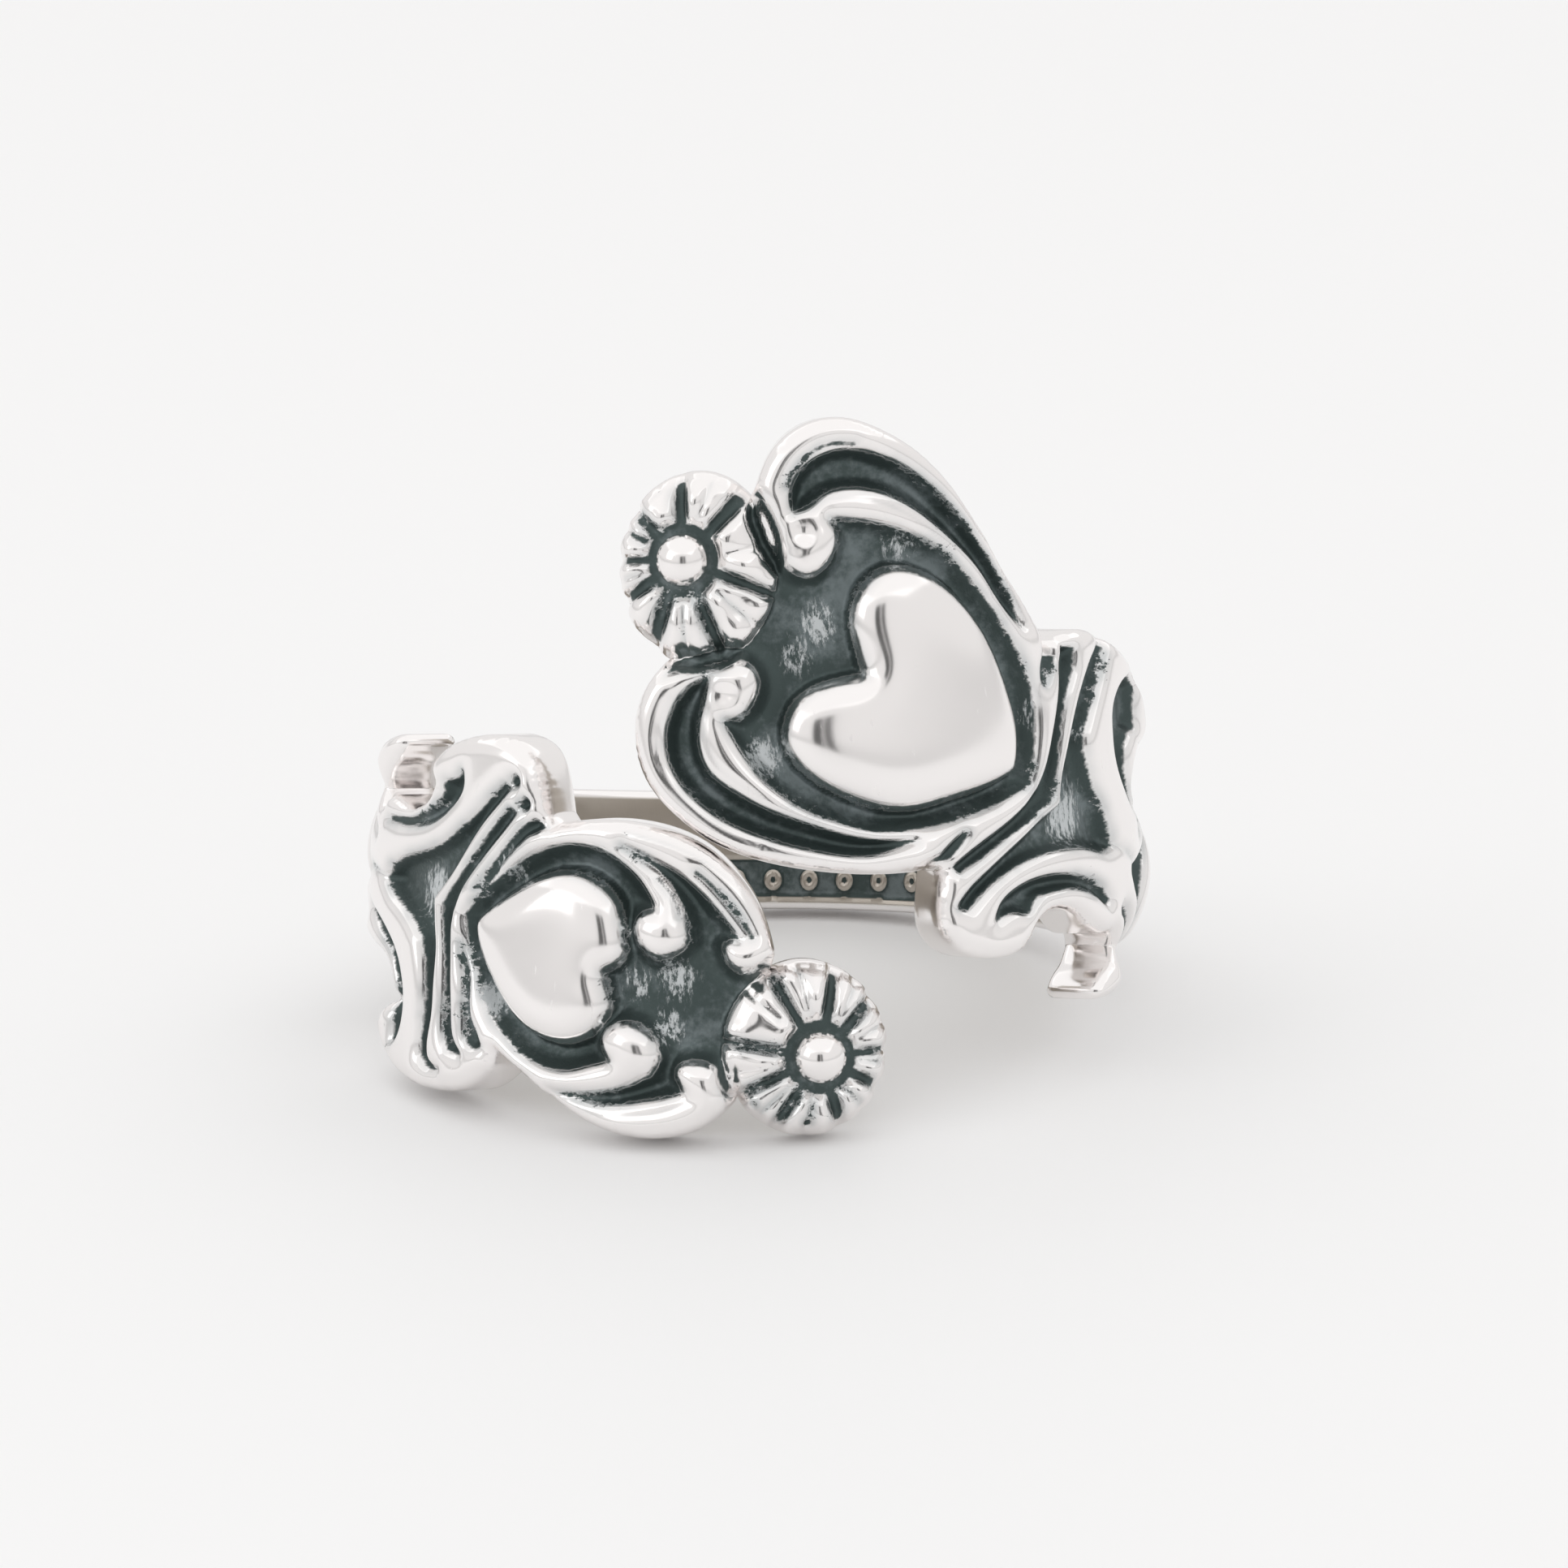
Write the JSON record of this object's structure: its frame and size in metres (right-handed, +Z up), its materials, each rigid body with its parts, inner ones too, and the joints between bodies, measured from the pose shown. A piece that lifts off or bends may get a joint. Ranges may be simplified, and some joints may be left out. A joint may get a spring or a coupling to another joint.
{
  "type": "spoon ring",
  "caption": "Wide bypass spoon ring in cast silver: flower tips, hearts in C-scrolls, chevrons and hooked lobes on a narrow shank.",
  "frame": {"origin": "middle of the footprint on the surface that the ring rests on, lying on its side", "axes": "+Z up, the decorated front faces -Y, the finger hole's axis leans back towards +Y"},
  "size_m": [0.0218, 0.0228, 0.0189],
  "materials": {
    "silver": "polished silver with oxidised recesses"
  },
  "bodies": {
    "root": {"ring": "silver"}
  },
  "joints": []
}
